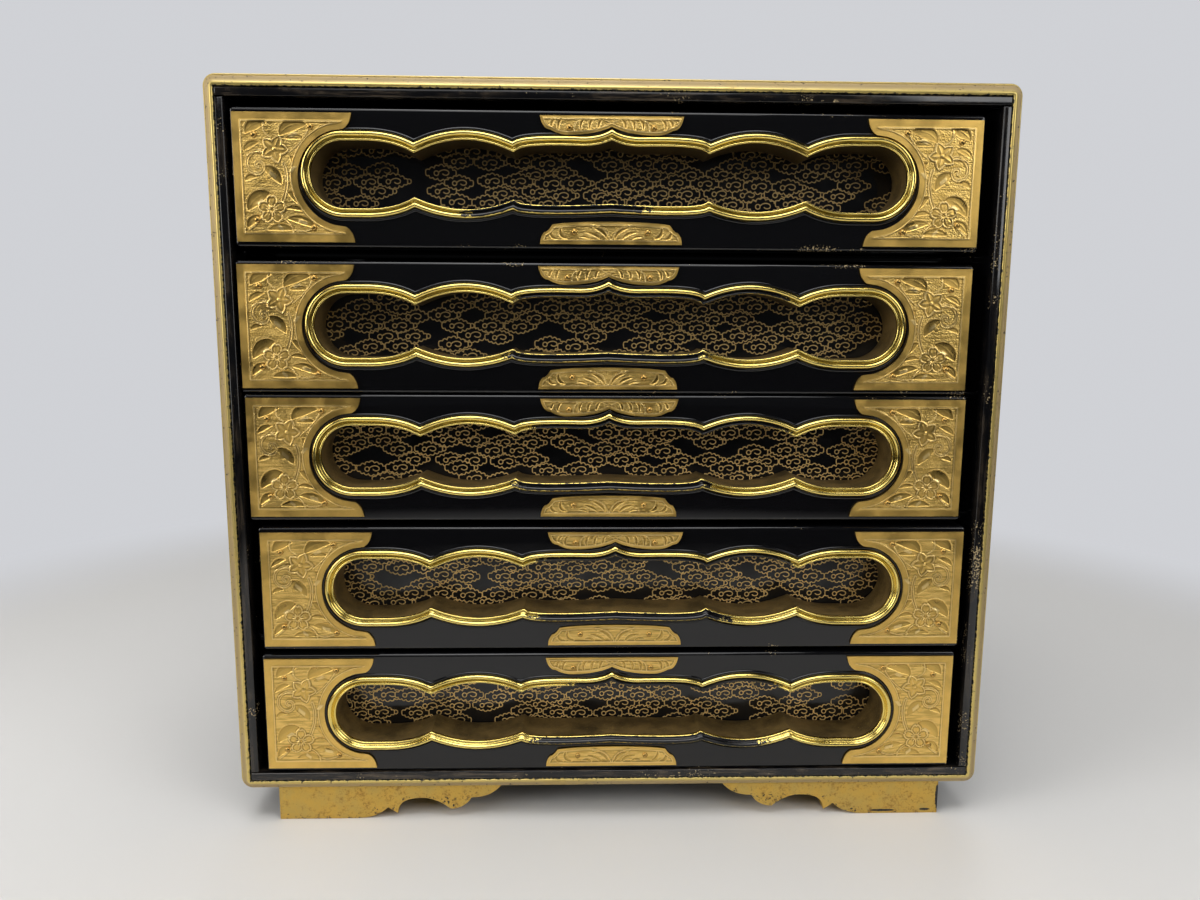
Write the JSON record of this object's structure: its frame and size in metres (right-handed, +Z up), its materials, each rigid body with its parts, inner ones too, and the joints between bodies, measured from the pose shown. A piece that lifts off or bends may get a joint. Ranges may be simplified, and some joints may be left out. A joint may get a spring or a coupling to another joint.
{
  "type": "lacquered sutra box with drawers",
  "caption": "Black-lacquered wooden sutra box with gilded edge and bracket feet; shallow drawers with lobed gilt finger recesses, cloud panels and engraved brass plates.",
  "frame": {"origin": "on the ground under the middle of the box", "axes": "+X to the box's right seen from the front, +Y from the front to the back, +Z up; the drawers pull out along -Y"},
  "size_m": [0.33, 0.24, 0.3188],
  "materials": {
    "black_lacquer": "black gloss lacquer on wood, worn to light specks along the edges",
    "gold_leaf": "gold leaf on lacquered wood, mottled and rubbed through in places",
    "engraved_brass": "satin gilt brass sheet, chased with flowers on a stippled ground",
    "cloud_lacquer": "black lacquer with clouds drawn in gold line",
    "wiped_wood": "thin wiped brown lacquer over straight-grained wood"
  },
  "bodies": {
    "case": {"case_top": "black_lacquer", "case_bottom": "black_lacquer", "case_left_side": "black_lacquer", "case_right_side": "black_lacquer", "case_back": "black_lacquer", "front_edge_moulding": "gold_leaf", "shelf_1": "black_lacquer", "shelf_2": "black_lacquer", "shelf_3": "black_lacquer", "shelf_4": "black_lacquer", "foot_front_left": "gold_leaf", "foot_front_right": "gold_leaf", "foot_back_left": "black_lacquer", "foot_back_right": "black_lacquer"},
    "drawer_1": {"drawer_1_front_board": "black_lacquer", "drawer_1_recess_frame": "gold_leaf", "drawer_1_cloud_panel": "cloud_lacquer", "drawer_1_tray": "wiped_wood", "drawer_1_end_plate_left": "engraved_brass", "drawer_1_end_plate_right": "engraved_brass", "drawer_1_upper_plate": "engraved_brass", "drawer_1_lower_plate": "engraved_brass"},
    "drawer_2": {"drawer_2_front_board": "black_lacquer", "drawer_2_recess_frame": "gold_leaf", "drawer_2_cloud_panel": "cloud_lacquer", "drawer_2_tray": "wiped_wood", "drawer_2_end_plate_left": "engraved_brass", "drawer_2_end_plate_right": "engraved_brass", "drawer_2_upper_plate": "engraved_brass", "drawer_2_lower_plate": "engraved_brass"},
    "drawer_3": {"drawer_3_front_board": "black_lacquer", "drawer_3_recess_frame": "gold_leaf", "drawer_3_cloud_panel": "cloud_lacquer", "drawer_3_tray": "wiped_wood", "drawer_3_end_plate_left": "engraved_brass", "drawer_3_end_plate_right": "engraved_brass", "drawer_3_upper_plate": "engraved_brass", "drawer_3_lower_plate": "engraved_brass"},
    "drawer_4": {"drawer_4_front_board": "black_lacquer", "drawer_4_recess_frame": "gold_leaf", "drawer_4_cloud_panel": "cloud_lacquer", "drawer_4_tray": "wiped_wood", "drawer_4_end_plate_left": "engraved_brass", "drawer_4_end_plate_right": "engraved_brass", "drawer_4_upper_plate": "engraved_brass", "drawer_4_lower_plate": "engraved_brass"},
    "drawer_5": {"drawer_5_front_board": "black_lacquer", "drawer_5_recess_frame": "gold_leaf", "drawer_5_cloud_panel": "cloud_lacquer", "drawer_5_tray": "wiped_wood", "drawer_5_end_plate_left": "engraved_brass", "drawer_5_end_plate_right": "engraved_brass", "drawer_5_upper_plate": "engraved_brass", "drawer_5_lower_plate": "engraved_brass"}
  },
  "joints": [
    {"name": "drawer_1_slide", "type": "slide", "parent": "case", "child": "drawer_1", "axis": [0, -1, 0], "range_m": [0, 0.17]},
    {"name": "drawer_2_slide", "type": "slide", "parent": "case", "child": "drawer_2", "axis": [0, -1, 0], "range_m": [0, 0.17]},
    {"name": "drawer_3_slide", "type": "slide", "parent": "case", "child": "drawer_3", "axis": [0, -1, 0], "range_m": [0, 0.17]},
    {"name": "drawer_4_slide", "type": "slide", "parent": "case", "child": "drawer_4", "axis": [0, -1, 0], "range_m": [0, 0.17]},
    {"name": "drawer_5_slide", "type": "slide", "parent": "case", "child": "drawer_5", "axis": [0, -1, 0], "range_m": [0, 0.17]}
  ]
}
